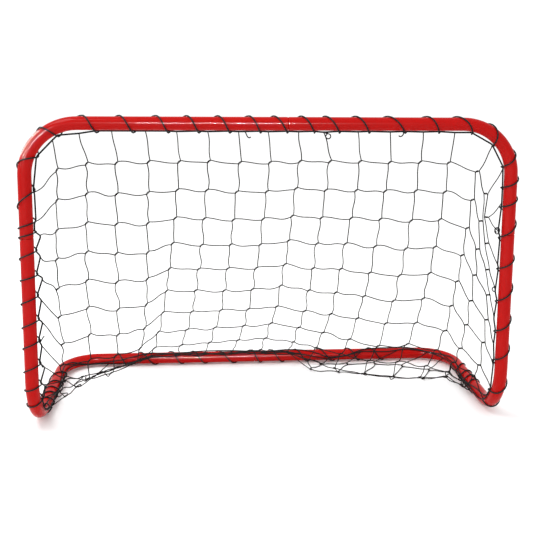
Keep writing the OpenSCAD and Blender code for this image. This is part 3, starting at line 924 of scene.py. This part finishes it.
class GOAL_OT_lacing(bpy.types.Operator):
    """Winds the lacing round the mouth, the rails and the rear bar"""
    bl_idname = "goal.lacing"
    bl_label = "Wind the lacing"

    def execute(self, context):
        cords = context.scene.goal_cords
        black = braided_cord("black_lacing_cord", tuple(cords.black), LACING_PITCH)
        tree = cord_tree()
        radius = TUBE_R + cords.lacing / 2 + CORD_GAP
        turns = [(MM * outer, MM * run) for outer, run in MOUTH_TURNS]
        cuts = [sum(outer < join for outer, _ in turns) for join in (LEFT_JOIN, RIGHT_JOIN)]
        split = {"left_lacing": (0, cuts[0]), "top_lacing": tuple(cuts),
                 "right_lacing": (cuts[1], len(turns))}
        windings = {}
        for name, (first, last) in split.items():
            lead = sum(turns[first - 1]) if first else None
            windings[name] = wound(turns[first:last], radius, cords.border, lead)
        rails = {"left_rail_lacing": -MM * np.array(LEFT_RAIL_TURNS)[::-1],
                 "right_rail_lacing": MM * np.array(RIGHT_RAIL_TURNS)}
        for name, places in rails.items():
            turns = [(place, RAIL_RUN) for place in places]
            windings[name] = wound(turns, radius, cords.border)
        across = REAR_START + MM * np.concatenate([[0], np.cumsum(REAR_GAPS)])
        windings["rear_lacing"] = rear_winding(across, radius, cords.border)
        for name, line in windings.items():
            made = chains(name + "_cord", [above_floor(line, LACING_REST * cords.lacing)])
            grown(made, tree, Thickness=cords.lacing, Sides=CORD_SIDES, Material=black)
            flattened(made)
            settled(made, "lacing", name)
        return {"FINISHED"}


def rear_winding(across, radius, border):
    """The rear bar's lacing, wound from left to right through the bar's middle."""
    angle = np.linspace(0, len(across) - 1, POINTS_PER_TURN * (len(across) - 1))
    place = np.interp(angle, np.arange(len(across)), across)
    past = (360 * angle + rear_lift(place) - 90 + 180) % 360 - 180
    radius = (radius + ridden(past, border))[:, None]
    turn = 2 * math.pi * angle[:, None]
    centre = np.stack([place, np.full(place.size, REAR_Y), np.full(place.size, GROUND_Z)], -1)
    return centre + radius * (np.cos(turn) * UP + np.sin(turn) * FRONT)


class GOAL_OT_borders(bpy.types.Operator):
    """Runs the border cords along the net's edges"""
    bl_idname = "goal.borders"
    bl_label = "Run the borders"

    def execute(self, context):
        cords = context.scene.goal_cords
        black = braided_cord("black_border_cord", tuple(cords.black), BORDER_PITCH)
        tree = cord_tree()
        mouth = mouth_border(cords)[1]
        ground = self.ground_lines(cords)
        for name, runs, share in (("mouth_border", [mouth], 1),
                                  ("ground_border", ground, GROUND_CORD_SHARE)):
            lines = [above_floor(line, BORDER_REST * cords.border) for line in runs]
            made = chains(name, lines)
            grown(made, tree, Thickness=share * cords.border, Sides=CORD_SIDES, Material=black)
            flattened(made)
            settled(made, "border", name + "_cord")
        return {"FINISHED"}

    def ground_lines(self, cords):
        """The lower border and the net's own edge cord, which runs up and down beside it."""
        half = np.arange(MOUTH_END, HALF_LENGTH, 2 * STEP)
        lines = []
        for lift, sway in ((0, 0), (EDGE_CORD_LIFT, EDGE_CORD_SWAY)):
            higher = lift + sway * np.sin(half / EDGE_CORD_WAVE)
            left = ground_border_places(-half, cords, higher)
            right = ground_border_places(half, cords, higher)
            lines.append(np.vstack([left, right[::-1]]))
        return lines


class GOAL_OT_net(bpy.types.Operator):
    """Hangs the knotted net and lays its slack on the floor"""
    bl_idname = "goal.net"
    bl_label = "Hang the net"

    def execute(self, context):
        net, cords = context.scene.goal_net, context.scene.goal_cords
        places, upright, level = hung_net(net, cords)
        draw = np.random.default_rng(NET_SEED + 1)
        black = twisted_twine(tuple(net.black), TWINE_PITCH)
        tree = netting_tree()
        lines = {name: [] for name in NETTING}
        knots = {name: [] for name in NETTING}
        aims = {name: [] for name in NETTING}
        halves = self.knot_halves(places, net.knot)
        lefts, rights = places - halves, places + halves
        for row in range(ROWS + 2):
            for column in range(COLUMNS + 2):
                in_rows, in_columns = 0 < row <= ROWS, 0 < column <= COLUMNS
                if in_rows and column <= COLUMNS:
                    lines[netting_of(row, column, column + 1)].append(strand(
                        rights[row, column], lefts[row, column + 1], level[row, column], draw))
                if in_columns and row <= ROWS:
                    lines[netting_of(row + 0.5, column, column)].append(strand(
                        lefts[row, column], rights[row + 1, column], upright[row, column], draw))
                if in_rows and in_columns:
                    name = netting_of(row, column, column)
                    knots[name].append(places[row, column])
                    aims[name].append(unit(halves[row, column]))
        for name, node_name in NETTING.items():
            bars = [above_floor(line, TWINE_REST * net.twine) for line in lines[name]]
            made = chains(name, bars, knots[name], aims[name])
            grown(made, tree, Twine=net.twine, Knot_length=net.knot, Material=black)
            flattened(made)
            settled(made, "net", node_name)
        return {"FINISHED"}

    def knot_halves(self, places, knot):
        """Half of each knot, as the way from its middle to its upper right end."""
        halves = np.zeros_like(places)
        for row in range(1, ROWS + 1):
            for column in range(1, COLUMNS + 1):
                level = unit(places[row, column + 1] - places[row, column - 1])
                rise = unit(places[row - 1, column] - places[row + 1, column])
                halves[row, column] = unit(level + rise) * knot * KNOT_HALF
        return halves


NETTING = {"back_netting": "back_net", "left_side_netting": "left_side_net",
           "right_side_netting": "right_side_net", "left_slack_netting": "left_slack_net",
           "right_slack_netting": "right_slack_net"}


def netting_of(row, first, last):
    """The stretch of netting that a bar or knot belongs to."""
    if row > SLACK_ROW:
        return "left_slack_netting" if last <= MIDDLE_COLUMN else "right_slack_netting"
    if last <= LEFT_FOLD:
        return "left_side_netting"
    return "right_side_netting" if first >= RIGHT_FOLD else "back_netting"


class GOAL_OT_tails(bpy.types.Operator):
    """Ties off the lacing with small knots and loose tails"""
    bl_idname = "goal.tails"
    bl_label = "Tie the tails"

    def execute(self, context):
        cords = context.scene.goal_cords
        black = braided_cord("black_tail_cord", tuple(cords.black), LACING_PITCH)
        lines = []
        for along, points in TAILS:
            home = border_places(MM * along, cords)[0]
            lines.append(curled(home, MM * np.array(points, float)))
        made = chains("cord_tails", lines)
        grown(made, cord_tree(), Thickness=TAIL_THICKNESS, Sides=CORD_SIDES, Material=black)
        settled(made, "lacing", "lacing_knots")
        return {"FINISHED"}


# Loose tails: where they leave the border, and the bends of each from there, in millimetres
TAILS = (
    (-52, ((0, 0, 0), (2, -3, -5), (4, -4, -9), (7, -5, -11), (10, -4, -10))),
    (100, ((0, 0, 0), (-3, -3, -5), (-5, -4, -8), (-1, -5, -12), (4, -4, -10), (4, -3, -5),
           (0, -2, -3), (-5, -3, -2))),
    (240, ((0, 0, 0), (0, -3, -4), (-3, -4, -8), (-7, -5, -9), (-9, -5, -7))),
    (-815, ((0, 0, 0), (2, -2, 5), (8, -3, 14))),
    (-852, ((0, 0, 0), (3, -2, -2), (6, -4, -9))),
    (-955, ((0, 0, 0), (6, -3, 3), (11, -4, -2), (7, -5, -7), (1, -4, -3), (5, -6, 2))),
    (606, ((0, 0, 0), (-6, -4, 3), (-9, -6, -3), (-6, -7, -8), (-1, -5, -7), (1, -4, -1),
           (-3, -6, 4), (-8, -3, 0), (-5, -4, -6))),
    (722, ((0, 0, 0), (-5, -3, 3), (-8, -4, -1), (-5, -5, -5), (-1, -4, -3))),
)


def curled(home, points, count=8):
    """A smooth line through a tail's bends."""
    line = []
    last = len(points) - 1
    for k in range(last):
        before, start = points[max(k - 1, 0)], points[k]
        end, after = points[k + 1], points[min(k + 2, last)]
        for t in np.linspace(0, 1, count, endpoint=k == last - 1):
            line.append(0.5 * (2 * start + (end - before) * t
                               + (2 * before - 5 * start + 4 * end - after) * t ** 2
                               + (3 * start - before - 3 * end + after) * t ** 3))
    return home + np.array(line)


class GOAL_PT_panel(bpy.types.Panel):
    """Lists the steps that dress the goal"""
    bl_idname = "GOAL_PT_panel"
    bl_label = "Laced practice goal"
    bl_space_type = "VIEW_3D"
    bl_region_type = "UI"
    bl_category = "Goal"

    def draw(self, context):
        for step in STEPS:
            self.layout.operator(step.bl_idname)


STEPS = (GOAL_OT_stage, GOAL_OT_tubes, GOAL_OT_lacing, GOAL_OT_borders, GOAL_OT_net,
         GOAL_OT_tails)
SETTINGS = {"goal_tubes": GoalTubes, "goal_cords": GoalCords, "goal_net": GoalNet,
            "goal_stage": GoalStage}


def register():
    """Adds the settings, the steps and the panel."""
    for made in (*SETTINGS.values(), *STEPS, GOAL_PT_panel):
        bpy.utils.register_class(made)
    for name, group in SETTINGS.items():
        setattr(bpy.types.Scene, name, bpy.props.PointerProperty(type=group))


def unregister():
    """Takes them out again."""
    for name in SETTINGS:
        delattr(bpy.types.Scene, name)
    for made in (GOAL_PT_panel, *reversed(STEPS), *reversed(SETTINGS.values())):
        bpy.utils.unregister_class(made)


def main():
    """Dresses the goal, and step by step."""
    register()
    for step in STEPS:
        area, name = step.bl_idname.split(".")
        getattr(getattr(bpy.ops, area), name)()


if __name__ == "__main__":
    main()
